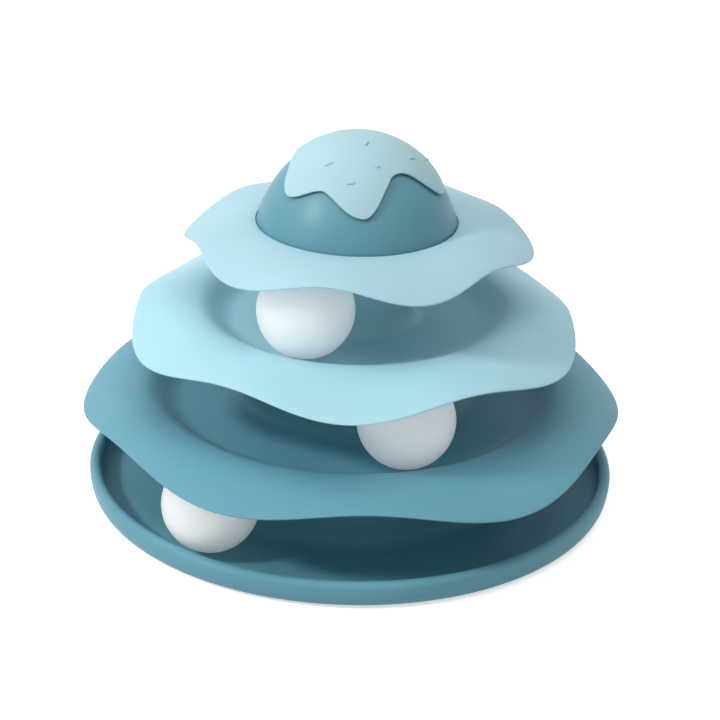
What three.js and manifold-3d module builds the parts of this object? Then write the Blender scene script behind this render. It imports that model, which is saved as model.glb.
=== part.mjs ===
// Cat play tower: a round base and three wavy trays stacked on keyed hubs, with a ball
// rolling in each of the three channels and a domed cap with dripping icing on top.
// Millimetres, +Z up. The origin is on the table, under the middle of the tower.

import * as THREE from 'three';
import { mergeVertices } from 'three/addons/utils/BufferGeometryUtils.js';
import Module from 'manifold-3d';

const wasm = await Module();
wasm.setup();

// Driving dimensions.

// Walls and fits of all the moulded pieces.
const wall = 1.8;
const fitGap = 0.3;

// The balls, each welded from two half shells that lap at the seam.
const ballRadius = 22;
const ballWall = 1.5;
const ballLap = 1.4;

// Where the balls run. From one level to the next the track steps in by a ball's radius and
// stepRun, and the floor steps up by a ball's diameter less nestDepth. So each bowl passes
// between the ball in it and the ball below.
const lowTrackRadius = 100;
const stepRun = 2;
const nestDepth = 3.25;

// Direction of each resting ball from the tower's axis, in degrees from +X.
const lowBallAngle = -128;
const middleBallAngle = -71.5;
const highBallAngle = -114.5;

// Hubs: the free run beside the ball at the floor, the draft of the walls and the collar
// that plugs into the tray above. The top tray has a closed boss instead, which keeps
// bossInset inside the hub below.
const hubRun = 3;
const hubDraft = 4.4;
const collarHeight = 8;
const bossInset = 10;
const topBossHeight = 10;

// Index keys that turn the trays to their places on the collars.
const keyCount = 3;
const keyWidth = 5;
const keyDepth = 1.6;
const keyHeight = 6.5;

// Base: how high its floor rides over the table, and its rolled rim.
const floorClearance = 1.7;
const rimRun = 1.38;
const rimRadius = 2.7;
const rimHeight = 13.2;
const rimFillet = 5;
const skirtClearance = 0.8;
const skirtTuck = 2.6;

// Rubber foot pads in shallow pockets under the base.
const padCount = 6;
const padRadius = 6;
const pocketDepth = 0.6;

// Bowls of the ball trays: the flat run outside the ball's path, and the lip, which stays
// lipInset inside the reach of the ball.
const floorRun = 3.6;
const lipInset = 2.2;
const lipRise = 7;
const brimCrown = 0.9;

// Seat for the dome in the top tray. Its floor ends seatInset inside the high ball's track,
// so that it passes beside the ball, and its ledge passes over it.
const seatInset = 21;
const seatRise = 5.7;
const seatStep = 1.4;
const ledgeWidth = 5.9;

// Dome and its icing. The dome's foot lies domeInset inside the high ball's track, and its
// egg shape is domeBulge wider than the foot.
const domeInset = 5.9;
const domeBulge = 2.1;
const domeHeight = 40.5;
const domeWall = 2;
const icingGap = 0.7;
const icingWall = 1.1;

// How far the mean edge of each brim lies outside the track of its level, and how far over
// the tray's floor.
const lowerBrimReach = 50.5;
const lowerBrimLift = 0;
const middleBrimReach = 54.9;
const middleBrimLift = 0.6;
const topBrimReach = 51.5;
const topBrimLift = 0.6;

// Waves of the brims, as shares of waveSize. Each one has its number round the edge, how far
// it reaches out and lifts, and the direction of a crest of either, in degrees from +X.
const waveSize = 3.1;
const lowerWaves = [
  { count: 2, reach: 0.71, reachAt: -81, lift: 0.32, liftAt: 22 },
  { count: 6, reach: 0.81, reachAt: 3, lift: 1, liftAt: -25 },
];
const middleWaves = [
  { count: 2, reach: 1.16, reachAt: -80.4, lift: 0.26, liftAt: 78.5 },
  { count: 3, reach: 0.39, reachAt: -27.3, lift: 0.23, liftAt: -51.5 },
  { count: 6, reach: 0.81, reachAt: 27.7, lift: 1, liftAt: -0.8 },
];
const topWaves = [
  { count: 2, reach: 0.48, reachAt: 79, lift: 0.48, liftAt: 62 },
  { count: 3, reach: 0.32, reachAt: -12, lift: 0.06, liftAt: 0 },
  { count: 6, reach: 0.94, reachAt: -9, lift: 1, liftAt: 21 },
];

// The icing's lower edge: drips and the arches between them. Each has its direction in
// degrees from +X and its height over the dome's foot, as a share of the dome's height.
const dripEdge = [
  { at: -141, height: 0.475 },
  { at: -117, height: 0.6 },
  { at: -87, height: 0.39 },
  { at: -58, height: 0.74 },
  { at: -46, height: 0.74 },
  { at: -15.5, height: 0.44 },
  { at: 16, height: 0.69 },
  { at: 48, height: 0.44 },
  { at: 78, height: 0.64 },
  { at: 112, height: 0.36 },
  { at: 160, height: 0.72 },
  { at: 186.5, height: 0.72 },
];

// Sprinkles on the icing: direction from +X, place down the dome in degrees from its top,
// and how each one lies.
const sprinkleRadius = 0.7;
const sprinkleLength = 3.4;
const sprinkles = [
  { at: -69, down: 10, turn: 50 },
  { at: -124, down: 29, turn: 70 },
  { at: -70, down: 28, turn: -40 },
  { at: -97, down: 38, turn: 80 },
  { at: -17, down: 31, turn: -60 },
  { at: 35, down: 24, turn: 20 },
  { at: 92, down: 33, turn: -70 },
  { at: 150, down: 25, turn: 40 },
];

// How finely the round pieces are cut.
const trayTurns = 44;
const icingTurns = 54;
const ballTurns = 16;
const padTurns = 12;

const up = new THREE.Vector3(0, 0, 1);

// Plastics and rubber.

function plastic(color, roughness) {
  return new THREE.MeshStandardMaterial({ color, roughness, metalness: 0 });
}

const lightBlue = plastic('#b5dfea', 0.45);
const middleBlue = plastic('#a8d3e2', 0.45);
const tealBlue = plastic('#7fb2c1', 0.45);
const white = plastic('#eef3f5', 0.4);
const rubber = plastic('#5f6a6e', 0.8);

// Places worked out from the driving dimensions. Level 0 is the base, level 3 the top tray.

const topLevel = 3;
const trackStep = ballRadius + stepRun;
const tierPitch = 2 * ballRadius - nestDepth;
const lipRun = ballRadius - lipInset;

function floorHeight(level) {
  return floorClearance + wall + level * tierPitch;
}

function trackRadius(level) {
  return lowTrackRadius - level * trackStep;
}

const domeRadius = trackRadius(topLevel - 1) - domeInset;
const domeSpread = domeRadius + domeBulge;
const draftSlope = Math.tan(THREE.MathUtils.degToRad(hubDraft));
const draftWall = wall / Math.cos(THREE.MathUtils.degToRad(hubDraft));

function hubFootRadius(level) {
  if (level === topLevel) {
    return hubFootRadius(level - 1) - bossInset;
  }
  return trackRadius(level) - ballRadius - hubRun;
}

function hubTopHeight(level) {
  if (level === topLevel) {
    return floorHeight(level) + topBossHeight;
  }
  return floorHeight(level + 1) - wall - fitGap;
}

function hubRadius(level, height) {
  return hubFootRadius(level) - (height - floorHeight(level)) * draftSlope;
}

function socketRadius(level, height) {
  return hubRadius(level, height) - draftWall;
}

function collarRadius(level, height) {
  return socketRadius(level + 1, height) - fitGap;
}

// Solids.

function toSolid(geometry) {
  const bare = geometry.index ? geometry.clone() : mergeVertices(geometry.clone());
  bare.deleteAttribute('normal');
  bare.deleteAttribute('uv');
  const merged = mergeVertices(bare, 1e-4);
  return new wasm.Manifold(new wasm.Mesh({
    numProp: 3,
    vertProperties: new Float32Array(merged.attributes.position.array),
    triVerts: new Uint32Array(merged.index.array),
  }));
}

function toGeometry(solid) {
  const mesh = solid.getMesh();
  const geometry = new THREE.BufferGeometry();
  geometry.setAttribute('position', new THREE.BufferAttribute(mesh.vertProperties, 3));
  geometry.setIndex(new THREE.BufferAttribute(mesh.triVerts, 1));
  geometry.computeVertexNormals();
  return geometry;
}

// A closed outline of radius and height, turned about the tower's axis.
function turned(outline, turns) {
  const points = THREE.ShapeUtils.isClockWise(outline) ? outline.slice().reverse() : outline.slice();
  const onAxis = points.findIndex((point) => point.x === 0);
  if (onAxis < 0) {
    points.push(points[0].clone());
    return new THREE.LatheGeometry(points, turns).rotateX(Math.PI / 2);
  }
  const count = points.length;
  const first = points.findIndex((point, i) => point.x === 0 && points[(i + count - 1) % count].x === 0);
  const ordered = points.map((point, i) => points[(first + i) % count]);
  return new THREE.LatheGeometry(ordered, turns).rotateX(Math.PI / 2);
}

// The same path moved sideways to its right, with mitred corners.
function offsetRight(path, distance) {
  return path.map((point, i) => {
    const before = i > 0 ? point.clone().sub(path[i - 1]).normalize() : null;
    const after = i < path.length - 1 ? path[i + 1].clone().sub(point).normalize() : null;
    const a = before ?? after;
    const b = after ?? before;
    const normal = new THREE.Vector2(a.y + b.y, -a.x - b.x).normalize();
    const reach = distance / (normal.x * b.y - normal.y * b.x);
    return point.clone().addScaledVector(normal, reach);
  });
}

// A wall of even thickness under a skin that runs outwards, with a round nose at its edge.
function walled(skin, thickness) {
  const under = offsetRight(skin, thickness);
  const last = skin.length - 1;
  const along = skin[last].clone().sub(skin[last - 1]).normalize();
  const nose = skin[last].clone().add(under[last]).multiplyScalar(0.5);
  nose.addScaledVector(along, thickness / 2);
  return [...skin, nose, ...under.reverse()];
}

function at(radius, height) {
  return new THREE.Vector2(radius, height);
}

// A copy of a shape at each of a number of even turns about the tower's axis.
function around(count, geometry, firstAngle = 0) {
  const copies = [];
  for (let i = 0; i < count; i += 1) {
    const angle = THREE.MathUtils.degToRad(firstAngle + (i * 360) / count);
    copies.push(toSolid(geometry.clone().rotateZ(angle)));
  }
  return copies;
}

// Hub of one level: collar, ledge and drafted wall, down to the floor's inner corner.
function hubSkin(level) {
  const top = hubTopHeight(level);
  const foot = at(hubFootRadius(level), floorHeight(level));
  const shoulder = at(hubRadius(level, top), top);
  if (level === topLevel) {
    return [at(0, top), shoulder, foot];
  }
  const collarTop = top + collarHeight;
  return [
    at(collarRadius(level, collarTop), collarTop),
    at(collarRadius(level, top), top),
    shoulder,
    foot,
  ];
}

// Slots from the axis out through the collar, for the keys of the tray above.
function collarSlots(level) {
  const bottom = hubTopHeight(level) + fitGap / 2;
  const height = collarHeight + fitGap;
  const depth = collarRadius(level, bottom) + 2 * wall;
  const slot = new THREE.BoxGeometry(depth, keyWidth + 2 * fitGap, height);
  slot.translate(depth / 2, 0, bottom + height / 2);
  return around(keyCount, slot, 90);
}

// Keys inside a tray's socket.
function socketKeys(level) {
  const bottom = floorHeight(level) - wall + fitGap;
  const face = socketRadius(level, bottom + keyHeight);
  const depth = keyDepth + wall / 2;
  const key = new THREE.BoxGeometry(depth, keyWidth, keyHeight);
  key.translate(face + wall / 2 - depth / 2, 0, bottom + keyHeight / 2);
  return around(keyCount, key, 90);
}

// Base.

function rimSkin() {
  const innerRadius = lowTrackRadius + Math.sqrt(
    ballRadius ** 2 - (floorHeight(0) + ballRadius - rimHeight) ** 2,
  ) + rimRun;
  const floor = floorHeight(0);
  const centre = at(innerRadius + rimRadius, rimHeight - rimRadius);
  const fillet = new THREE.EllipseCurve(
    innerRadius - rimFillet, floor + rimFillet, rimFillet, rimFillet, -Math.PI / 2, 0,
  ).getPoints(2);
  const roll = new THREE.EllipseCurve(
    centre.x, centre.y, rimRadius, rimRadius, Math.PI, 0, true,
  ).getPoints(4);
  const outer = centre.x + rimRadius;
  const drop = centre.y - skirtClearance;
  return [
    ...fillet,
    ...roll,
    at(outer - 0.3 * skirtTuck, centre.y - 0.7 * drop),
    at(outer - skirtTuck, skirtClearance),
  ];
}

function padPlaces() {
  const radius = (hubFootRadius(0) + lowTrackRadius + ballRadius) / 2;
  const places = [];
  for (let i = 0; i < padCount; i += 1) {
    const angle = THREE.MathUtils.degToRad(30 + (i * 360) / padCount);
    places.push(new THREE.Vector3(radius * Math.cos(angle), radius * Math.sin(angle), 0));
  }
  return places;
}

function upright(radiusTop, radiusBottom, height, turns) {
  return new THREE.CylinderGeometry(radiusTop, radiusBottom, height, turns)
    .rotateX(Math.PI / 2)
    .translate(0, 0, height / 2);
}

function baseTray() {
  const skin = [...hubSkin(0), ...rimSkin()];
  let solid = toSolid(turned(walled(skin, wall), trayTurns));
  const pocketRadius = padRadius + fitGap;
  const pocket = upright(pocketRadius, pocketRadius, floorClearance + pocketDepth, padTurns);
  for (const place of padPlaces()) {
    solid = solid.subtract(toSolid(pocket.clone().translate(place.x, place.y, place.z)));
  }
  for (const slot of collarSlots(0)) {
    solid = solid.subtract(slot);
  }
  return toGeometry(solid);
}

function footPad() {
  const chamfer = 0.5;
  const height = floorClearance + pocketDepth - fitGap;
  return new THREE.LatheGeometry([
    at(0, 0),
    at(padRadius - chamfer, 0),
    at(padRadius, chamfer),
    at(padRadius, height),
    at(0, height),
  ], padTurns).rotateX(Math.PI / 2);
}

// Wavy trays.

// The bowl's wall, from the end of the flat floor up to the lip.
function bowlSkin(level) {
  const start = at(trackRadius(level) + floorRun, floorHeight(level));
  const lip = at(trackRadius(level) + lipRun, floorHeight(level) + lipRise);
  const run = lip.x - start.x;
  return new THREE.CubicBezierCurve(
    start,
    at(start.x + 0.44 * run, start.y),
    at(start.x + 0.62 * run, start.y + 0.74 * lipRise),
    lip,
  ).getPoints(3);
}

// The top tray's bowl ends in a ledge and a short step that hold the dome.
function seatSkin() {
  const floor = floorHeight(topLevel);
  const ledge = floor + seatRise;
  const outer = domeRadius + 2 * fitGap;
  return [
    at(trackRadius(topLevel - 1) - seatInset, floor),
    at(outer - ledgeWidth, ledge),
    at(outer, ledge),
    at(outer, ledge + seatStep),
  ];
}

// The brim, from the lip over a low crown and down to its edge.
function brimSkin(lip, edge) {
  const run = edge.x - lip.x;
  return new THREE.CubicBezierCurve(
    lip,
    at(lip.x + 0.12 * run, lip.y + 1.5 * brimCrown),
    at(lip.x + 0.55 * run, lip.y + 0.2 * brimCrown),
    edge,
  ).getPoints(4).slice(1);
}

// Waves grow over the brim, from nothing at the lip to their full size at the edge.
function rippled(geometry, lipRadius, edgeRadius, waves) {
  const place = geometry.attributes.position;
  for (let i = 0; i < place.count; i += 1) {
    const x = place.getX(i);
    const y = place.getY(i);
    const radius = Math.hypot(x, y);
    const share = THREE.MathUtils.clamp((radius - lipRadius) / (edgeRadius - lipRadius), 0, 1);
    if (share > 0) {
      const growth = share ** 1.5;
      const angle = Math.atan2(y, x);
      let reach = 0;
      let lift = 0;
      for (const wave of waves) {
        reach += wave.reach * Math.cos(wave.count * (angle - THREE.MathUtils.degToRad(wave.reachAt)));
        lift += wave.lift * Math.cos(wave.count * (angle - THREE.MathUtils.degToRad(wave.liftAt)));
      }
      const grown = growth * waveSize;
      const scale = (radius + grown * reach) / radius;
      place.setXYZ(i, x * scale, y * scale, place.getZ(i) + grown * lift);
    }
  }
  return geometry;
}

function wavyTray(level, brimReach, edgeLift, waves) {
  const edgeRadius = trackRadius(level) + brimReach;
  const bowl = level === topLevel ? seatSkin() : bowlSkin(level);
  const lip = bowl[bowl.length - 1];
  const edge = at(edgeRadius, floorHeight(level) + edgeLift);
  const skin = [...hubSkin(level), ...bowl, ...brimSkin(lip, edge)];
  const sheet = turned(walled(skin, wall), trayTurns);
  let solid = toSolid(rippled(sheet, lip.x + wall, edgeRadius, waves));
  for (const key of socketKeys(level)) {
    solid = solid.add(key);
  }
  if (level < topLevel) {
    for (const slot of collarSlots(level)) {
      solid = solid.subtract(slot);
    }
  }
  return toGeometry(solid);
}

// Dome and icing. The dome is the upper part of an egg shape on a short upright skirt.

const seatHeight = floorHeight(topLevel) + seatRise;
const domeFoot = seatHeight + fitGap;
const domeTop = domeFoot + domeHeight;
const skirtTop = domeFoot + seatStep - fitGap;

// Half height of the egg that is domeSpread wide, passes the skirt and ends at the dome's top.
function eggHalfHeight() {
  const level = Math.sqrt(1 - (domeRadius / domeSpread) ** 2);
  return (domeTop - skirtTop) / (1 - level);
}

const eggHeight = eggHalfHeight();
const eggCentre = domeTop - eggHeight;

// A point of the egg grown by some thickness, at an angle down from its top.
function eggPoint(down, grown) {
  return at((domeSpread + grown) * Math.sin(down), eggCentre + (eggHeight + grown) * Math.cos(down));
}

function domeShell() {
  const foot = Math.asin(domeRadius / domeSpread);
  const outer = [];
  const inner = [];
  const rows = 6;
  for (let i = 0; i <= rows; i += 1) {
    const down = (foot * i) / rows;
    outer.push(i ? eggPoint(down, 0) : at(0, domeTop));
    inner.push(i ? eggPoint(down, -domeWall) : at(0, domeTop - domeWall));
  }
  inner[rows].x = domeRadius - domeWall;
  return turned([
    ...outer,
    at(domeRadius, domeFoot),
    at(domeRadius - domeWall, domeFoot),
    ...inner.reverse(),
  ], trayTurns);
}

// Height of the icing's edge in a direction: it swings evenly from each drip to each arch.
function icingEdge(angle) {
  const turn = THREE.MathUtils.euclideanModulo(angle - dripEdge[0].at, 360);
  for (let i = 0; i < dripEdge.length; i += 1) {
    const here = dripEdge[i];
    const next = dripEdge[(i + 1) % dripEdge.length];
    const start = here.at - dripEdge[0].at;
    const width = THREE.MathUtils.euclideanModulo(next.at - here.at, 360);
    if (turn >= start && turn <= start + width) {
      const swing = (1 - Math.cos((Math.PI * (turn - start)) / width)) / 2;
      return domeFoot + domeHeight * THREE.MathUtils.lerp(here.height, next.height, swing);
    }
  }
  return domeFoot;
}

function sprinkle({ at: angle, down, turn }) {
  const rod = new THREE.CapsuleGeometry(sprinkleRadius, sprinkleLength - 2 * sprinkleRadius, 1, 5);
  const place = eggPoint(THREE.MathUtils.degToRad(down), icingGap + icingWall);
  rod.rotateZ(THREE.MathUtils.degToRad(turn));
  rod.rotateY(THREE.MathUtils.degToRad(down));
  rod.translate(place.x, 0, place.y);
  rod.rotateZ(THREE.MathUtils.degToRad(angle));
  return toSolid(rod);
}

function icingCap() {
  const rows = 6;
  const unit = [];
  for (let i = 0; i <= rows; i += 1) {
    unit.push(at(i / rows, 1));
  }
  unit.push(at(1, 0.5));
  for (let i = rows; i >= 0; i -= 1) {
    unit.push(at(i / rows, 0));
  }
  const sheet = turned(unit, icingTurns);
  const place = sheet.attributes.position;
  for (let i = 0; i < place.count; i += 1) {
    const share = Math.hypot(place.getX(i), place.getY(i));
    const angle = Math.atan2(place.getY(i), place.getX(i));
    const edge = icingEdge(THREE.MathUtils.radToDeg(angle));
    const down = share * Math.acos((edge - eggCentre) / eggHeight);
    const nose = place.getZ(i) === 0.5 ? icingWall / 2 / domeSpread : 0;
    const point = eggPoint(down + nose, icingGap + icingWall * place.getZ(i));
    place.setXYZ(i, point.x * Math.cos(angle), point.x * Math.sin(angle), point.y);
  }
  let solid = toSolid(sheet);
  for (const grain of sprinkles) {
    solid = solid.add(sprinkle(grain));
  }
  return toGeometry(solid);
}

// Balls.

// An arc of a sphere from one pole to the height of the seam, as outline points.
function sphereArc(radius, fromAngle, toAngle, steps) {
  return new THREE.EllipseCurve(0, 0, radius, radius, fromAngle, toAngle, toAngle < fromAngle)
    .getPoints(steps);
}

function ballHalf(isUpper) {
  const inner = ballRadius - ballWall;
  const lapRadius = ballRadius - ballWall / 2;
  const quarter = Math.PI / 2;
  const seam = fitGap / 2;
  if (isUpper) {
    const recess = lapRadius + fitGap / 2;
    const rise = ballLap + fitGap;
    return turned([
      ...sphereArc(ballRadius, Math.asin(seam / ballRadius), quarter, 4).slice(0, -1),
      at(0, ballRadius),
      at(0, inner),
      ...sphereArc(inner, quarter, Math.asin(rise / inner), 3).slice(1),
      at(recess, rise),
      at(recess, seam),
    ], ballTurns);
  }
  const tongue = lapRadius - fitGap / 2;
  return turned([
    at(0, -ballRadius),
    ...sphereArc(ballRadius, -quarter, -Math.asin(seam / ballRadius), 4).slice(1),
    at(tongue, -seam),
    at(tongue, ballLap),
    at(inner, ballLap),
    ...sphereArc(inner, 0, -quarter, 3).slice(0, -1),
    at(0, -inner),
  ], ballTurns);
}

// Assembly.

const tower = new THREE.Group();

function addPiece(name, geometry, material, parent = tower) {
  const mesh = new THREE.Mesh(geometry, material);
  mesh.name = name;
  parent.add(mesh);
  return mesh;
}

addPiece('base_tray', baseTray(), tealBlue);
padPlaces().forEach((place, i) => {
  addPiece(`foot_pad_${i + 1}`, footPad(), rubber).position.copy(place);
});
addPiece('lower_tray', wavyTray(1, lowerBrimReach, lowerBrimLift, lowerWaves), tealBlue);
addPiece('middle_tray', wavyTray(2, middleBrimReach, middleBrimLift, middleWaves), middleBlue);
addPiece('top_tray', wavyTray(topLevel, topBrimReach, topBrimLift, topWaves), lightBlue);
addPiece('dome_shell', domeShell(), tealBlue);
addPiece('icing_cap', icingCap(), lightBlue);

const ballPlaces = [
  { name: 'low_ball', level: 0, angle: lowBallAngle },
  { name: 'middle_ball', level: 1, angle: middleBallAngle },
  { name: 'high_ball', level: 2, angle: highBallAngle },
];
for (const { name, level, angle } of ballPlaces) {
  const ball = new THREE.Group();
  const centre = new THREE.Vector3(trackRadius(level), 0, floorHeight(level) + fitGap + ballRadius);
  ball.position.copy(centre.applyAxisAngle(up, THREE.MathUtils.degToRad(angle)));
  addPiece(`${name}_lower_half`, ballHalf(false), white, ball);
  addPiece(`${name}_upper_half`, ballHalf(true), white, ball);
  tower.add(ball);
}

export default tower;
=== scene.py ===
# %% [markdown]
# # A cat play tower
# This lesson dresses a measured model of a cat toy: a round base and three wavy trays stacked
# on a column, a white ball in each channel, and a dome with dripping icing on top. The
# measured model holds the sizes and the motion. Here each moulded piece gets its smooth
# surface and its finish, and stays exactly where the model has it.

# %% Load the measured model
import math
import bmesh
import bpy
from mathutils import Matrix, Quaternion, Vector
from mathutils.geometry import interpolate_bezier


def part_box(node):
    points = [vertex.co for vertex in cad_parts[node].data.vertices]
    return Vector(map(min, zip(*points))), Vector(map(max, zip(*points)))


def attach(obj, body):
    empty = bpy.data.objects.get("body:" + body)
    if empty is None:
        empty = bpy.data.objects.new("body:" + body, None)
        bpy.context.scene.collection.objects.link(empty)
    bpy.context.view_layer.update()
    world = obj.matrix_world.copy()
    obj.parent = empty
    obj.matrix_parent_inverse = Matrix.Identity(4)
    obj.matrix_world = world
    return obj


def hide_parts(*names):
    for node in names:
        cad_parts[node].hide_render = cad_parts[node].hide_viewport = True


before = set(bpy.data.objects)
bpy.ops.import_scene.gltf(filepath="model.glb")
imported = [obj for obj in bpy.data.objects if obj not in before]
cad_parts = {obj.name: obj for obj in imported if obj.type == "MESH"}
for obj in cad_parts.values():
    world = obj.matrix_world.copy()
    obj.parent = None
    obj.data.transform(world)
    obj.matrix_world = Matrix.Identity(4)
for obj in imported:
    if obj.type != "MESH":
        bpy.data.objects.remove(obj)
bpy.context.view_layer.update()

# %% [markdown]
# ## Sizes
# The sizes below are real millimetres, the same ones that the model was drawn from. What can be
# read from the model is read from it: the height of each tray's floor comes from the boxes of
# the trays, so the smooth pieces stay on their hubs.

# %% Sizes of the moulded pieces
MM = 0.001
WALL = 1.8
FIT_GAP = 0.3
BALL_RADIUS = 22.0
LOW_TRACK = 100.0
TRACK_STEP = 24.0
HUB_RUN = 3.0
HUB_DRAFT = math.radians(4.4)
COLLAR_HEIGHT = 8.0
BOSS_INSET = 10.0
BOSS_HEIGHT = 10.0
TOP_LEVEL = 3


def box_mm(node):
    """Lowest and highest corner of a node, in millimetres."""
    low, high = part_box(node)
    return low / MM, high / MM


collar_tops = [box_mm(node)[1].z for node in ("base_tray", "lower_tray", "middle_tray")]
PITCH = (collar_tops[2] - collar_tops[0]) / 2
BASE_FLOOR = collar_tops[0] - COLLAR_HEIGHT - PITCH + WALL + FIT_GAP
print("tray pitch %.2f mm, base floor at %.2f mm" % (PITCH, BASE_FLOOR))

# %% Where each level lies
def floor_height(level):
    return BASE_FLOOR + level * PITCH


def track_radius(level):
    return LOW_TRACK - level * TRACK_STEP


def hub_foot(level):
    if level == TOP_LEVEL:
        return hub_foot(level - 1) - BOSS_INSET
    return track_radius(level) - BALL_RADIUS - HUB_RUN


def hub_top(level):
    if level == TOP_LEVEL:
        return floor_height(level) + BOSS_HEIGHT
    return floor_height(level + 1) - WALL - FIT_GAP


def hub_radius(level, height):
    return hub_foot(level) - (height - floor_height(level)) * math.tan(HUB_DRAFT)


def socket_radius(level, height):
    return hub_radius(level, height) - WALL / math.cos(HUB_DRAFT)


def collar_radius(level, height):
    return socket_radius(level + 1, height) - FIT_GAP


print("floors:", [round(floor_height(level), 2) for level in range(4)])

# %% [markdown]
# ## Drawing a section
# Every moulded piece here is round, so each starts as half a section, with radius to the
# right and height upwards. Corners of a moulded wall are never sharp, so a small helper
# swaps each corner for a short curve. A longer curve takes four points, the way a pen tool
# does.

# %% Helpers for lines
CORNER_STEPS = 6
CORNER_REACH = 0.45
CORNER_PULL = 0.6


def soft_corners(corners):
    """A path through (radius, height, corner radius), with each corner rounded.

    A rounding takes at most the share CORNER_REACH of the lines on its two sides.
    """
    path = [Vector(corners[0][:2])]
    for before, here, after in zip(corners, corners[1:], corners[2:]):
        corner = Vector(here[:2])
        back = Vector(before[:2]) - corner
        ahead = Vector(after[:2]) - corner
        half = back.angle(ahead) / 2
        longest = CORNER_REACH * min(back.length, ahead.length)
        reach = min(here[2] / math.tan(half), longest)
        start = corner + back.normalized() * reach
        end = corner + ahead.normalized() * reach
        bend = interpolate_bezier(
            start.to_3d(), start.lerp(corner, CORNER_PULL).to_3d(),
            end.lerp(corner, CORNER_PULL).to_3d(), end.to_3d(), CORNER_STEPS + 1)
        path.extend(point.to_2d() for point in bend)
    path.append(Vector(corners[-1][:2]))
    return path


def pen_curve(start, first, second, end, steps):
    """A curve through four pen points, without its first point."""
    bend = interpolate_bezier(
        Vector(start).to_3d(), Vector(first).to_3d(),
        Vector(second).to_3d(), Vector(end).to_3d(), steps + 1)
    return [point.to_2d() for point in bend[1:]]


def arc(centre, radius, start, end, steps):
    """Points of a circle between two angles in degrees."""
    middle = Vector(centre)
    angles = [math.radians(start + (end - start) * i / steps) for i in range(steps + 1)]
    return [middle + radius * Vector((math.cos(angle), math.sin(angle))) for angle in angles]


# %% [markdown]
# ## The wall of a moulded piece
# A moulded wall has the same thickness all along. Its under side is the upper line moved
# sideways by the wall. The two lines are joined by a round nose at the open edge, and the
# whole outline is turned once round the axis with `bmesh.ops.spin`, as a lathe would.

# %% Helpers for walls
NOSE_STEPS = 8
WELD = 0.001 * MM
SMOOTH_BELOW = math.radians(35)
ROUND_ABOVE = math.radians(50)
ROUND_SEGMENTS = 3


def moved_right(path, distances):
    """The path moved to its right by one distance for each point, with mitred corners."""
    moved = []
    for i, point in enumerate(path):
        back = (point - path[i - 1]).normalized() if i else None
        ahead = (path[i + 1] - point).normalized() if i + 1 < len(path) else None
        a, b = back or ahead, ahead or back
        across = Vector((a.y + b.y, -a.x - b.x)).normalized()
        reach = distances[i] / (across.x * b.y - across.y * b.x)
        moved.append(point + across * reach)
    return moved


def walled(corners, curve, wall, edge_wall=None):
    """The closed outline of a wall: corners first, then a smooth curve out to its edge.

    Each corner is (radius, height, rounding above, rounding below). Towards its edge the
    wall thins from `wall` to `edge_wall`.
    """
    edge_wall = edge_wall or wall
    above = soft_corners([corner[:3] for corner in corners]) + curve
    sharp = [Vector(corner[:2]) for corner in corners] + curve
    count = len(curve)
    distances = [wall] * len(corners)
    distances += [wall + (edge_wall - wall) * (i + 1) / count for i in range(count)]
    under = moved_right(sharp, distances)
    turned_under = [(*point, corner[3]) for point, corner in zip(under, corners)]
    below = soft_corners(turned_under) + under[len(corners):]
    tip = (above[-1] + below[-1]) / 2
    out = (above[-1] - above[-2]).normalized()
    side = (above[-1] - below[-1]) / 2
    turns = [math.pi * i / NOSE_STEPS for i in range(1, NOSE_STEPS)]
    nose = [tip + side * math.cos(turn) + out * side.length * math.sin(turn) for turn in turns]
    return above + nose + below[::-1]


def spun(path, turns=192, closed=True):
    """A mesh made by turning a line of millimetre points about the tower's axis."""
    mesh = bmesh.new()
    verts = [mesh.verts.new((point.x * MM, 0, point.y * MM)) for point in path]
    pairs = list(zip(verts, verts[1:]))
    if closed and path[0].x > 0:
        pairs.append((verts[-1], verts[0]))
    edges = [mesh.edges.new(pair) for pair in pairs]
    bmesh.ops.spin(
        mesh, geom=verts + edges, cent=(0, 0, 0), axis=(0, 0, 1),
        angle=2 * math.pi, steps=turns, use_merge=True)
    bmesh.ops.remove_doubles(mesh, verts=mesh.verts, dist=WELD)
    bmesh.ops.recalc_face_normals(mesh, faces=mesh.faces)
    return mesh


def finished(name, mesh, body, nodes=(), material=None):
    """Makes an object of a mesh, shades it smooth and hangs it on its body."""
    mesh.normal_update()
    for edge in mesh.edges:
        edge.smooth = not edge.is_manifold or edge.calc_face_angle() < SMOOTH_BELOW
    for face in mesh.faces:
        face.smooth = True
    data = bpy.data.meshes.new(name)
    mesh.to_mesh(data)
    mesh.free()
    data.materials.append(material)
    piece = bpy.data.objects.new(name, data)
    bpy.context.scene.collection.objects.link(piece)
    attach(piece, body)
    if nodes:
        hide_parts(*nodes)
    return piece


def round_edges(piece, width):
    """Rounds the sharp edges of a piece, over a width in millimetres."""
    rounding = piece.modifiers.new("rounded edges", "BEVEL")
    rounding.width = width * MM
    rounding.segments = ROUND_SEGMENTS
    rounding.profile = 0.5
    rounding.limit_method = "ANGLE"
    rounding.angle_limit = ROUND_ABOVE


# %% [markdown]
# ## The plastic
# The real trays are moulded polypropylene with a satin, slightly grained skin. One function
# makes every colour of it: a slow noise shifts the colour by a few hundredths, as pigment
# does, a fine one gives the grain of the mould as bump, and a third one varies how glossy
# the skin is. All of them read Object coordinates, so they stay put when a piece moves. The
# white of the balls lets light in and out again, and a faint painted glow, a white emission,
# keeps their shaded side pale.

# %% Noises of the plastic
PIGMENT_SCALE = 14
GLOSS_SCALE = 60
GRAIN_SCALE = 1600
GRAIN_DEPTH = 0.05 * MM
GLOSS_SPREAD = 0.03
CLOUD_LOW = 0.3
CLOUD_HIGH = 0.7


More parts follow.
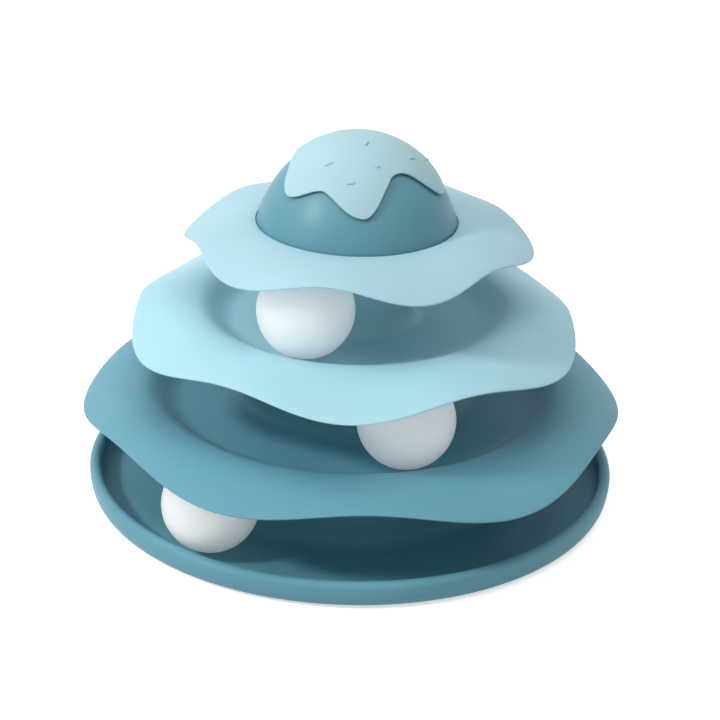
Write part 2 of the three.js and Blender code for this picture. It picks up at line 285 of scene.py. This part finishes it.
def noise(nodes, links, scale, detail):
    """A noise that sticks to the piece, because it reads its Object coordinates."""
    place = nodes.new("ShaderNodeTexCoord")
    cloud = nodes.new("ShaderNodeTexNoise")
    cloud.inputs["Scale"].default_value = scale
    cloud.inputs["Detail"].default_value = detail
    links.new(place.outputs["Object"], cloud.inputs["Vector"])
    return cloud.outputs["Fac"]


def pigment(nodes, links, colour, drift):
    """The colour, which drifts lighter and darker by the given share."""
    tint = nodes.new("ShaderNodeValToRGB")
    dark, pale = tint.color_ramp.elements
    dark.position = CLOUD_LOW
    dark.color = [c * (1 - drift) for c in colour] + [1]
    pale.position = CLOUD_HIGH
    pale.color = [min(c * (1 + drift), 1) for c in colour] + [1]
    links.new(noise(nodes, links, PIGMENT_SCALE, 3), tint.inputs["Fac"])
    return tint.outputs["Color"]


def varied_roughness(nodes, links, roughness):
    """The roughness, a little more here and a little less there."""
    gloss = nodes.new("ShaderNodeMapRange")
    gloss.inputs["From Min"].default_value = CLOUD_LOW
    gloss.inputs["From Max"].default_value = CLOUD_HIGH
    gloss.inputs["To Min"].default_value = roughness - GLOSS_SPREAD
    gloss.inputs["To Max"].default_value = roughness + GLOSS_SPREAD
    links.new(noise(nodes, links, GLOSS_SCALE, 4), gloss.inputs["Value"])
    return gloss.outputs["Result"]


def fine_grain(nodes, links, strength):
    """The grain that the mould leaves in the skin."""
    bump = nodes.new("ShaderNodeBump")
    bump.inputs["Strength"].default_value = strength
    bump.inputs["Distance"].default_value = GRAIN_DEPTH
    links.new(noise(nodes, links, GRAIN_SCALE, 2), bump.inputs["Height"])
    return bump.outputs["Normal"]


# %% Satin plastic
REFRACTION = 1.49
LIGHT_REACH = 70 * MM
HAZE = 0.35
HAZE_ROUGHNESS = 0.6
PAINTED_GLOW = 0.16


def srgb(code):
    """A colour in linear light from its usual six-digit code."""
    parts = [int(code[i:i + 2], 16) / 255 for i in (1, 3, 5)]
    return [c / 12.92 if c <= 0.04045 else ((c + 0.055) / 1.055) ** 2.4 for c in parts]


def satin_plastic(name, code, roughness=0.48, shine=0.18, grain=0.1, drift=0.05, glow=0.0):
    """Moulded plastic: a slow drift of colour, a fine grain and an even satin gloss.

    `shine` is how strongly the skin reflects. `glow` is the share of the light that goes into
    the plastic and comes out elsewhere, and it brings a pale haze and a faint painted glow
    with it, a white emission that lightens the shaded side.
    """
    material = bpy.data.materials.new(name)
    material.use_nodes = True
    nodes = material.node_tree.nodes
    links = material.node_tree.links
    shader = nodes["Principled BSDF"]
    shader.inputs["IOR"].default_value = REFRACTION
    shader.inputs["Specular IOR Level"].default_value = shine
    shader.inputs["Subsurface Weight"].default_value = glow
    shader.inputs["Subsurface Radius"].default_value = (1, 1, 1)
    shader.inputs["Subsurface Scale"].default_value = LIGHT_REACH
    shader.inputs["Sheen Weight"].default_value = HAZE * glow
    shader.inputs["Sheen Roughness"].default_value = HAZE_ROUGHNESS
    # The emission below is a faint painted glow that lightens the shaded side, and only the balls
    # have it.
    shader.inputs["Emission Color"].default_value = (1, 1, 1, 1)
    shader.inputs["Emission Strength"].default_value = PAINTED_GLOW * glow
    links.new(pigment(nodes, links, srgb(code), drift), shader.inputs["Base Color"])
    links.new(varied_roughness(nodes, links, roughness), shader.inputs["Roughness"])
    links.new(fine_grain(nodes, links, grain), shader.inputs["Normal"])
    return material


teal = satin_plastic("teal_plastic", "#659cac")
# The dome's plastic is the trays' teal made darker: painted shade for its steep sides, which get
# less light.
shaded_teal = satin_plastic("deep_teal_plastic", "#5b909f", roughness=0.42, shine=0.32)
sky = satin_plastic("sky_plastic", "#a6d2de")
light = satin_plastic("light_blue_plastic", "#a4cad6")
icing_blue = satin_plastic("icing_plastic", "#a4c7ce")
# The balls' white: with glow at 1.0 it lets light through and also adds the faint painted glow.
white = satin_plastic(
    "white_plastic", "#f6f8f9", roughness=0.38, shine=0.48, drift=0.01, glow=1.0)
rubber = satin_plastic("grey_rubber", "#566266", roughness=0.8, grain=0.5)
print("materials:", len(bpy.data.materials))

# %% [markdown]
# ## The camera
# The photograph was taken from in front and above, with a long lens, and a little askew. The
# camera stands where the rims, brims and balls of the model fall on those of the photograph.

# %% Camera
FRAME_PIXELS = 720
FOCAL_PIXELS = 1993.07
SENSOR_WIDTH = 36
CAMERA_PLACE = Vector((0, -858.89, 453.68)) * MM
CAMERA_TARGET = Vector((3.28, 0, 61.93)) * MM
CAMERA_ROLL = math.radians(1.704)

camera_data = bpy.data.cameras.new("camera")
camera_data.sensor_width = SENSOR_WIDTH
camera_data.lens = SENSOR_WIDTH * FOCAL_PIXELS / FRAME_PIXELS
camera = bpy.data.objects.new("camera", camera_data)
bpy.context.scene.collection.objects.link(camera)
gaze = (CAMERA_TARGET - CAMERA_PLACE).to_track_quat("-Z", "Y")
camera.rotation_mode = "QUATERNION"
camera.location = CAMERA_PLACE
camera.rotation_quaternion = gaze @ Quaternion((0, 0, 1), CAMERA_ROLL)
bpy.context.scene.camera = camera
distance = (CAMERA_TARGET - CAMERA_PLACE).length / MM
print("lens %.1f mm, distance %.0f mm" % (camera_data.lens, distance))

# %% [markdown]
# ## The base
# The base is one wall: a floor for the lowest ball, a low rim rolled over and down into a
# skirt, and a hub in the middle whose ledge carries the next tray. The foot of the hub runs
# into the floor in a wide hollow, so no line shows there.

# %% Base tray
RIM_RUN = 1.38
RIM_RADIUS = 2.7
RIM_HEIGHT = 13.2
RIM_FILLET = 5.0
SKIRT_CLEARANCE = 0.8
SKIRT_TUCK = 2.6
HUB_HOLLOW = 8.0
BOSS_HOLLOW = 3.0
HOLLOW_BELOW = 2
SHOULDER = 1.6
SHOULDER_BELOW = 0.5
ROLL_STEPS = 24
SKIRT_STEPS = 10


def hub_corners(level):
    """The hub's ledge, shoulder and foot, each with its roundings above and below."""
    top = hub_top(level)
    inner = 0.0 if level == TOP_LEVEL else collar_radius(level, top) - WALL
    hollow = BOSS_HOLLOW if level == TOP_LEVEL else HUB_HOLLOW
    return [
        (inner, top, 0, 0), (hub_radius(level, top), top, SHOULDER, SHOULDER_BELOW),
        (hub_foot(level), floor_height(level), hollow, HOLLOW_BELOW)]


def base_outline():
    """Outline of the base's wall, from the hub over the rim to the foot of the skirt."""
    floor = floor_height(0)
    drop = floor + BALL_RADIUS - RIM_HEIGHT
    inner = LOW_TRACK + math.sqrt(BALL_RADIUS ** 2 - drop ** 2) + RIM_RUN
    centre = Vector((inner + RIM_RADIUS, RIM_HEIGHT - RIM_RADIUS))
    outer = centre.x + RIM_RADIUS
    corners = [
        *hub_corners(0), (inner, floor, RIM_FILLET, RIM_FILLET + WALL), (inner, centre.y, 0, 0)]
    roll = arc(centre, RIM_RADIUS, 180, 0, ROLL_STEPS)[1:]
    skirt = pen_curve(
        roll[-1], (outer, 0.6 * centre.y), (outer - 0.3 * SKIRT_TUCK, 0.3 * centre.y),
        (outer - SKIRT_TUCK, SKIRT_CLEARANCE + WALL / 2), SKIRT_STEPS)
    return walled(corners, roll + skirt, WALL)


finished("base_tray_body", spun(base_outline()), "base", ["base_tray"], teal)
print("base: %.1f mm across" % (box_mm("base_tray")[1].x - box_mm("base_tray")[0].x))

# %% [markdown]
# ## The wavy trays
# Each tray is a bowl with a brim that droops. Its edge swings up and down and in and out six
# times on the way round, with slower swings that make no two lobes alike. The section is
# spun plain first. Then each point past the lip moves by the sum of the waves, by a share
# that grows from nothing at the lip to the whole at the edge. The brim thins towards its
# edge, so the edge reads as a fine light line.

# %% Sections of the trays
FLOOR_RUN = 3.6
LIP_INSET = 2.2
LIP_RISE = 7.0
CROWN = 0.9
EDGE_WALL = 0.9
SEAT_INSET = 21.0
SEAT_RISE = 5.7
SEAT_STEP = 1.4
SEAT_RISE_OUT = 0.35
LEDGE_WIDTH = 5.9
BOWL_STEPS = 16
BRIM_STEPS = 24
DOME_INSET = 5.9
dome_radius = track_radius(TOP_LEVEL - 1) - DOME_INSET


def brim_curve(lip, edge, rise):
    """From the lip, where it leaves at the given rise, out to the edge."""
    run = edge[0] - lip[0]
    return pen_curve(
        lip, (lip[0] + 0.12 * run, lip[1] + 0.12 * run * rise),
        (lip[0] + 0.55 * run, lip[1] + 0.2 * CROWN), edge, BRIM_STEPS)


def bowl_tray(level, reach, lift):
    """Outline and lip radius of a tray that carries a ball."""
    floor = floor_height(level)
    start = (track_radius(level) + FLOOR_RUN, floor)
    lip = (track_radius(level) + BALL_RADIUS - LIP_INSET, floor + LIP_RISE)
    run = lip[0] - start[0]
    last = (start[0] + 0.62 * run, floor + 0.74 * LIP_RISE)
    curve = pen_curve(start, (start[0] + 0.44 * run, floor), last, lip, BOWL_STEPS)
    rise = (lip[1] - last[1]) / (lip[0] - last[0])
    curve += brim_curve(lip, (track_radius(level) + reach, floor + lift), rise)
    return walled([*hub_corners(level), (*start, 0, 0)], curve, WALL, EDGE_WALL), lip[0]


def seat_tray(reach, lift):
    """Outline and lip radius of the top tray, with its seat for the dome."""
    floor = floor_height(TOP_LEVEL)
    ledge = floor + SEAT_RISE
    outer = dome_radius + 2 * FIT_GAP
    corners = [
        *hub_corners(TOP_LEVEL), (track_radius(TOP_LEVEL - 1) - SEAT_INSET, floor, 4, 4),
        (outer - LEDGE_WIDTH, ledge, 2, 2), (outer, ledge, 0.3, 0.6),
        (outer, ledge + SEAT_STEP, 0, 0)]
    edge = (track_radius(TOP_LEVEL) + reach, floor + lift)
    curve = brim_curve(corners[-1][:2], edge, SEAT_RISE_OUT)
    return walled(corners, curve, WALL, EDGE_WALL), outer


# %% Waves of the brims
# Each wave: its swings in a turn, how far it goes out and where most, in degrees, then how far
# it goes up and where most. The sizes are shares of WAVE_SIZE.
WAVE_SIZE = 3.1
WAVE_GROWTH = 1.5
LOWER_WAVES = [
    (1, 0.07, -5, 0.04, -59.2), (2, 0.56, -79.6, 0.39, 43.1), (3, 0.26, -34.2, 0.06, 19.5),
    (4, 0.14, 43.2, 0.06, -17.5), (5, 0.03, -15.2, 0.12, -8.1), (6, 0.76, 3.8, 0.97, -25.1)]
MIDDLE_WAVES = [
    (1, 0.21, 110.2, 0.05, -141.5), (2, 1.12, -81.6, 0.28, 81.4), (3, 0.29, -22.3, 0.23, -55.6),
    (4, 0.13, 4.4, 0.04, -10.2), (5, 0.06, -0.4, 0.15, -33.7), (6, 0.8, 28.8, 1.05, -1.4)]
TOP_WAVES = [
    (1, 0.04, 120.2, 0.07, -104.7), (2, 0.49, 82.8, 0.5, 69.6), (3, 0.32, -16, 0.07, -22.8),
    (4, 0.01, 38.4, 0.11, -34.7), (5, 0.04, 2.9, 0.1, -11), (6, 0.9, -7.9, 0.91, 21.1)]


def rippled(mesh, lip_radius, edge_radius, waves):
    """Moves each point past the lip by the sum of the waves, more and more towards the edge."""
    for vert in mesh.verts:
        radius = vert.co.xy.length / MM
        share = min(max((radius - lip_radius) / (edge_radius - lip_radius), 0), 1)
        if share == 0:
            continue
        growth = WAVE_SIZE * share ** WAVE_GROWTH
        angle = math.atan2(vert.co.y, vert.co.x)
        reach = sum(out * math.cos(n * (angle - math.radians(at))) for n, out, at, _, _ in waves)
        lift = sum(up * math.cos(n * (angle - math.radians(at))) for n, _, _, up, at in waves)
        vert.co.xy *= 1 + growth * reach / radius
        vert.co.z += growth * lift * MM


trays = [
    ("lower_tray", "lower_tier", "teal_blue_plastic", teal, 1, 50.5, 0.0, LOWER_WAVES),
    ("middle_tray", "middle_tier", "sky_blue_plastic", sky, 2, 54.9, 0.6, MIDDLE_WAVES),
    ("top_tray", "top_tier", "light_blue_plastic", light, 3, 51.5, 0.6, TOP_WAVES),
]
for node, body, slot, plastic, level, reach, lift, waves in trays:
    if level == TOP_LEVEL:
        outline, lip_radius = seat_tray(reach, lift)
    else:
        outline, lip_radius = bowl_tray(level, reach, lift)
    sheet = spun(outline)
    rippled(sheet, lip_radius + WALL, track_radius(level) + reach, waves)
    tray = finished(node + "_body", sheet, body, [node], plastic)
    print(node, "has", len(tray.data.polygons), "faces")

# %% [markdown]
# ## Collars and keys
# The collar on each hub plugs into the tray above. It is split by three slots, and three keys
# inside the tray above drop into them, so a tray fits turned one way only. A partial spin of
# a closed section gives each stretch of collar, ends and all.

# %% Collars and keys
KEY_COUNT = 3
KEY_WIDTH = 5.0
KEY_DEPTH = 1.6
KEY_HEIGHT = 6.5
KEY_ROUNDING = 0.4
COLLAR_ROUNDING = 0.35
COLLAR_STEPS = 40


def key_turns():
    return [math.radians(90 + 360 * i / KEY_COUNT) for i in range(KEY_COUNT)]


def add_collar(level, body, plastic):
    """The stretches of collar between the slots of one hub."""
    top = hub_top(level)
    end = top + COLLAR_HEIGHT
    foot = top - WALL / 2
    outline = [
        (collar_radius(level, foot), foot), (collar_radius(level, end), end),
        (collar_radius(level, end) - WALL, end), (collar_radius(level, foot) - WALL, foot)]
    gap = (KEY_WIDTH + 2 * FIT_GAP) / collar_radius(level, top)
    mesh = bmesh.new()
    for turn in key_turns():
        corners = [mesh.verts.new((radius * MM, 0, height * MM)) for radius, height in outline]
        face = mesh.faces.new(corners)
        aim = Matrix.Rotation(turn + gap / 2, 3, "Z")
        bmesh.ops.rotate(mesh, verts=corners, cent=(0, 0, 0), matrix=aim)
        bmesh.ops.spin(
            mesh, geom=[face, *face.edges, *face.verts], cent=(0, 0, 0), axis=(0, 0, 1),
            angle=2 * math.pi / KEY_COUNT - gap, steps=COLLAR_STEPS)
    bmesh.ops.remove_doubles(mesh, verts=mesh.verts, dist=WELD)
    bmesh.ops.recalc_face_normals(mesh, faces=mesh.faces)
    round_edges(finished(f"{body}_collar", mesh, body, (), plastic), COLLAR_ROUNDING)


def add_keys(level, body, plastic):
    """The keys inside a tray's socket."""
    bottom = floor_height(level) - WALL + FIT_GAP
    face = socket_radius(level, bottom + KEY_HEIGHT)
    depth = KEY_DEPTH + WALL / 2
    mesh = bmesh.new()
    for turn in key_turns():
        verts = bmesh.ops.create_cube(mesh, size=MM)["verts"]
        bmesh.ops.scale(mesh, verts=verts, vec=(depth, KEY_WIDTH, KEY_HEIGHT))
        place = Vector((face + WALL / 2 - depth / 2, 0, bottom + KEY_HEIGHT / 2)) * MM
        bmesh.ops.translate(mesh, verts=verts, vec=place)
        aim = Matrix.Rotation(turn, 3, "Z")
        bmesh.ops.rotate(mesh, verts=verts, cent=(0, 0, 0), matrix=aim)
    round_edges(finished(f"{body}_keys", mesh, body, (), plastic), KEY_ROUNDING)


add_collar(0, "base", teal)
add_collar(1, "lower_tier", teal)
add_collar(2, "middle_tier", sky)
for node, body, slot, plastic, level, *_ in trays:
    add_keys(level, body, plastic)
print("collars: 3, sets of keys:", len(trays))

# %% [markdown]
# ## The dome
# The dome is the top of an egg on a short upright skirt. Half of the egg's outline and the
# wall inside it, turned, make it.

# %% Dome
DOME_BULGE = 2.1
DOME_WALL = 2.0
DOME_STEPS = 48
DOME_ROUNDING = 0.4
dome_low, dome_high = box_mm("dome_shell")
dome_foot = dome_low.z
dome_top = dome_high.z
dome_spread = dome_radius + DOME_BULGE
skirt_top = dome_foot + SEAT_STEP - FIT_GAP
egg_half = (dome_top - skirt_top) / (1 - math.sqrt(1 - (dome_radius / dome_spread) ** 2))
egg_centre = dome_top - egg_half


def egg_point(down, grown=0.0):
    """A point of the egg at an angle down from its top, grown by a thickness."""
    return Vector((
        (dome_spread + grown) * math.sin(down), egg_centre + (egg_half + grown) * math.cos(down)))


egg_foot = math.asin(dome_radius / dome_spread)
downs = [egg_foot * i / DOME_STEPS for i in range(DOME_STEPS + 1)]
outside = [egg_point(down) for down in downs] + [Vector((dome_radius, dome_foot))]
inside = [egg_point(down, -DOME_WALL) for down in downs]
inside += [Vector((dome_radius - DOME_WALL, dome_foot))]
dome_mesh = spun(outside + inside[::-1])
# The dome wears the darker teal, which paints the shade of its steep sides into its colour.
dome = finished(
    "dome_body", dome_mesh, "dome_cap", ["dome_shell"], shaded_teal)
round_edges(dome, DOME_ROUNDING)
print("dome: %.1f mm high" % (dome_top - dome_foot))

# %% [markdown]
# ## The icing
# The icing is a thin shell over the dome whose edge runs in drips. It is spun as a flat disc
# of rings. Each point then slides down the egg, by its ring's share of the way to the edge in
# its direction. The edge runs in one smooth line through the drips and arches listed here, as
# a direction in degrees and a share of the dome's height.

# %% Icing
ICING_GAP = 0.8
ICING_WALL = 1.0
ICING_ROUNDING = 0.25
EDGE_STEPS = 32
DRIP_EDGE = [
    (-165, 0.67), (-143, 0.474), (-116, 0.599), (-85.5, 0.387), (-68.5, 0.635), (-58, 0.738),
    (-41, 0.716), (-15.5, 0.44), (16, 0.69), (48, 0.44), (78, 0.64), (112, 0.36), (160, 0.72)]


def steepness(index):
    """How fast the edge rises at one of its listed points, per degree."""
    before, low = DRIP_EDGE[index - 1]
    after, high = DRIP_EDGE[(index + 1) % len(DRIP_EDGE)]
    return (high - low) / ((after - before) % 360)


def icing_edge(angle):
    """Height of the icing's edge, in millimetres, in a direction in degrees."""
    for index, (here, low) in enumerate(DRIP_EDGE):
        after, high = DRIP_EDGE[(index + 1) % len(DRIP_EDGE)]
        width = (after - here) % 360
        turn = (angle - here) % 360
        if turn < width:
            third = width / 3
            leaving = low + third * steepness(index)
            arriving = high - third * steepness((index + 1) % len(DRIP_EDGE))
            bend = interpolate_bezier(
                (0, low, 0), (third, leaving, 0), (2 * third, arriving, 0), (width, high, 0),
                EDGE_STEPS + 1)
            share = turn / third / 3 * EDGE_STEPS
            step = min(int(share), EDGE_STEPS - 1)
            height = bend[step].lerp(bend[step + 1], share - step).y
            return dome_foot + (dome_top - dome_foot) * height


def icing_sheet(rings=48, turns=360):
    """The icing's outer surface: a disc that has slid down the egg."""
    disc = [Vector((i / rings / MM, 0)) for i in range(rings + 1)]
    mesh = spun(disc, turns, closed=False)
    for vert in mesh.verts:
        share = vert.co.xy.length
        angle = math.atan2(vert.co.y, vert.co.x)
        down = share * math.acos((icing_edge(math.degrees(angle)) - egg_centre) / egg_half)
        point = egg_point(down, ICING_GAP + ICING_WALL)
        vert.co = Vector((point.x * math.cos(angle), point.x * math.sin(angle), point.y)) * MM
    mesh.normal_update()
    if max(mesh.faces, key=lambda face: face.calc_center_median().z).normal.z < 0:
        bmesh.ops.reverse_faces(mesh, faces=mesh.faces)
    return mesh


icing = finished(
    "icing_body", icing_sheet(), "dome_cap", ["icing_cap"], icing_blue)
shell = icing.modifiers.new("wall", "SOLIDIFY")
shell.thickness = ICING_WALL * MM
shell.offset = -1
shell.use_even_offset = True
round_edges(icing, ICING_ROUNDING)
print("icing:", len(icing.data.polygons), "faces before its wall")

# %% [markdown]
# ## Sprinkles
# Short grains are scattered on the icing. Each is a small rod with round ends, sunk to half
# of its thickness, and it lies flat on the slope where it is. Each rod is a small sphere whose
# two halves have moved apart.

# %% Sprinkles
SPRINKLE_RADIUS = 0.7
SPRINKLE_LENGTH = 3.9
NO_HEIGHT = 1e-9
SPRINKLES = [
    (-73, 12.5, 50), (-122, 30, 45), (-72, 29, -40), (-96, 39, 5), (-21.5, 30.5, -35),
    (4, 38, -30), (64, 36, 20), (122, 34, 40)]


def add_sprinkles():
    """One rod for each (direction, way down from the top, turn on the spot), in degrees."""
    mesh = bmesh.new()
    radius = SPRINKLE_RADIUS * MM
    half = SPRINKLE_LENGTH * MM / 2 - radius
    for direction, down, turn in SPRINKLES:
        rod = bmesh.ops.create_uvsphere(mesh, u_segments=20, v_segments=16, radius=radius)["verts"]
        for vert in rod:
            if abs(vert.co.z) > NO_HEIGHT:
                vert.co.z += math.copysign(half, vert.co.z)
        place = egg_point(math.radians(down), ICING_GAP + ICING_WALL)
        pose = (
            Matrix.Rotation(math.radians(direction), 4, "Z")
            @ Matrix.Translation((place.x * MM, 0, place.y * MM))
            @ Matrix.Rotation(math.radians(down), 4, "Y")
            @ Matrix.Rotation(math.radians(turn), 4, "Z")
            @ Matrix.Rotation(math.radians(90), 4, "X"))
        bmesh.ops.transform(mesh, matrix=pose, verts=rod)
    finished("icing_sprinkles", mesh, "dome_cap", (), icing_blue)


add_sprinkles()
print("sprinkles:", len(SPRINKLES))

# %% [markdown]
# ## The balls
# Each ball is welded from two half shells, and the weld is ground flush, so no seam shows. One
# smooth skin, half a circle turned, stands for both halves.

# %% Balls
BALL_STEPS = 80
BALL_TURNS = 128


def add_ball(name):
    """One smooth skin round both halves of a ball."""
    halves = [name + "_lower_half", name + "_upper_half"]
    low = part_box(halves[0])[0]
    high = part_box(halves[1])[1]
    centre = (low + high) / 2
    skin = arc((0, 0), BALL_RADIUS, 90, -90, BALL_STEPS)
    skin[0].x = 0
    skin[-1].x = 0
    mesh = spun(skin, BALL_TURNS, closed=False)
    bmesh.ops.translate(mesh, verts=mesh.verts, vec=centre)
    finished(name + "_skin", mesh, name, halves, white)
    print(name, "centre, mm:", [round(v / MM, 1) for v in centre])


for ball in ("low_ball", "middle_ball", "high_ball"):
    add_ball(ball)

# %% [markdown]
# ## Foot pads
# Six rubber pads sit in pockets under the base. Each is a flat disc whose two rims are
# bevelled round.

# %% Foot pads
PAD_COUNT = 6
PAD_ROUNDING = 0.4 * MM
PAD_TURNS = 48
for i in range(1, PAD_COUNT + 1):
    node = f"foot_pad_{i}"
    low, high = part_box(node)
    mesh = bmesh.new()
    disc = bmesh.ops.create_cone(
        mesh, cap_ends=True, cap_tris=False, segments=PAD_TURNS, depth=high.z - low.z,
        radius1=(high.x - low.x) / 2, radius2=(high.x - low.x) / 2)
    bmesh.ops.translate(mesh, verts=disc["verts"], vec=(low + high) / 2)
    rims = [edge for edge in mesh.edges if edge.calc_face_angle() > SMOOTH_BELOW]
    bmesh.ops.bevel(
        mesh, geom=rims, offset=PAD_ROUNDING, affect="EDGES",
        segments=ROUND_SEGMENTS, profile=0.5, material=-1)
    finished(node + "_rubber", mesh, "base", [node], rubber)
print("foot pads:", PAD_COUNT)

# %% [markdown]
# ## Floor, light and background
# The photograph shows the toy on plain white. The floor and the sky are that white only to
# the camera and in reflections. The toy gets a third of the sky's white as an even fill and
# none of the floor's, and the floor still takes its shadow. A soft key light stands up to the
# left and gives the shadows under the brims. Three large lights, above and behind on both
# sides, keep these shadows open. Lamplight fades far out on the floor, so the floor's own
# white grows there and its far edge doesn't show.

# %% Floor
FLOOR_HALF = 4
FLOOR_GREY = 0.8
FLOOR_GLOW = 0.62
FAR_GLOW = 0.8
FADE_START = 0.5
FADE_END = 2.5
SKY_WHITE = 1.0
SKY_FILL = 0.34

floor_mesh = bmesh.new()
bmesh.ops.create_grid(floor_mesh, x_segments=1, y_segments=1, size=FLOOR_HALF)
floor_data = bpy.data.meshes.new("floor")
floor_mesh.to_mesh(floor_data)
floor_mesh.free()
floor = bpy.data.objects.new("floor", floor_data)
bpy.context.scene.collection.objects.link(floor)


# %% Paint of the floor and light of the sky
def seen_directly(nodes, links):
    """1 for rays from the camera, for reflections and for glass, and 0 for the rest."""
    path = nodes.new("ShaderNodeLightPath")
    seen = path.outputs["Is Camera Ray"]
    for other in ("Is Glossy Ray", "Is Transmission Ray"):
        either = nodes.new("ShaderNodeMath")
        either.operation = "MAXIMUM"
        links.new(seen, either.inputs[0])
        links.new(path.outputs[other], either.inputs[1])
        seen = either.outputs[0]
    return seen


floor_paint = bpy.data.materials.new("floor_paint")
floor_paint.use_nodes = True
nodes = floor_paint.node_tree.nodes
links = floor_paint.node_tree.links
nodes.clear()
paper = nodes.new("ShaderNodeBsdfDiffuse")
paper.inputs["Color"].default_value = (FLOOR_GREY, FLOOR_GREY, FLOOR_GREY, 1)
glow = nodes.new("ShaderNodeEmission")
glow.inputs["Color"].default_value = (1, 1, 1, 1)
place = nodes.new("ShaderNodeTexCoord")
away = nodes.new("ShaderNodeVectorMath")
away.operation = "LENGTH"
links.new(place.outputs["Object"], away.inputs[0])
fade = nodes.new("ShaderNodeMapRange")
fade.inputs["From Min"].default_value = FADE_START
fade.inputs["From Max"].default_value = FADE_END
fade.inputs["To Min"].default_value = FLOOR_GLOW
fade.inputs["To Max"].default_value = FAR_GLOW
links.new(away.outputs["Value"], fade.inputs["Value"])
lit = nodes.new("ShaderNodeMath")
lit.operation = "MULTIPLY"
links.new(seen_directly(nodes, links), lit.inputs[0])
links.new(fade.outputs["Result"], lit.inputs[1])
links.new(lit.outputs[0], glow.inputs["Strength"])
both = nodes.new("ShaderNodeAddShader")
links.new(paper.outputs[0], both.inputs[0])
links.new(glow.outputs[0], both.inputs[1])
output = nodes.new("ShaderNodeOutputMaterial")
links.new(both.outputs[0], output.inputs["Surface"])
floor_data.materials.append(floor_paint)

world = bpy.data.worlds.new("white_studio")
bpy.context.scene.world = world
world.use_nodes = True
nodes = world.node_tree.nodes
links = world.node_tree.links
sky_light = nodes["Background"]
sky_light.inputs["Color"].default_value = (1, 1, 1, 1)
strength = nodes.new("ShaderNodeMapRange")
strength.inputs["To Min"].default_value = SKY_FILL
strength.inputs["To Max"].default_value = SKY_WHITE
links.new(seen_directly(nodes, links), strength.inputs["Value"])
links.new(strength.outputs["Result"], sky_light.inputs["Strength"])

# %% Lamps
LAMP_DISTANCE = 1.7
TOWER_MIDDLE = Vector((0, 0, 0.08))


def direction(turn, height):
    """A place seen from the tower: a turn from the camera's side and a height, in degrees."""
    turn = math.radians(turn)
    height = math.radians(height)
    level = math.cos(height)
    ray = Vector((level * math.sin(turn), -level * math.cos(turn), math.sin(height)))
    return TOWER_MIDDLE + LAMP_DISTANCE * ray


def softbox(name, place, size, power):
    """A lamp as wide and high as the two sizes in metres, aimed at the middle of the tower."""
    data = bpy.data.lights.new(name, "AREA")
    data.shape = "RECTANGLE"
    data.size, data.size_y = size
    data.energy = power
    lamp = bpy.data.objects.new(name, data)
    lamp.location = place
    lamp.rotation_mode = "QUATERNION"
    lamp.rotation_quaternion = (TOWER_MIDDLE - lamp.location).to_track_quat("-Z", "Y")
    bpy.context.scene.collection.objects.link(lamp)
    print("%s: %.1f W" % (name, power))


softbox("key", direction(-64, 36), (0.24, 0.2), 14)
softbox("ceiling", direction(0, 72), (1.2, 1.2), 13)
softbox("left_rear", direction(-130, 38), (1.2, 1.2), 5.8)
softbox("right_rear", direction(135, 35), (1.2, 1.2), 2.2)
bpy.context.scene.view_settings.view_transform = "Standard"
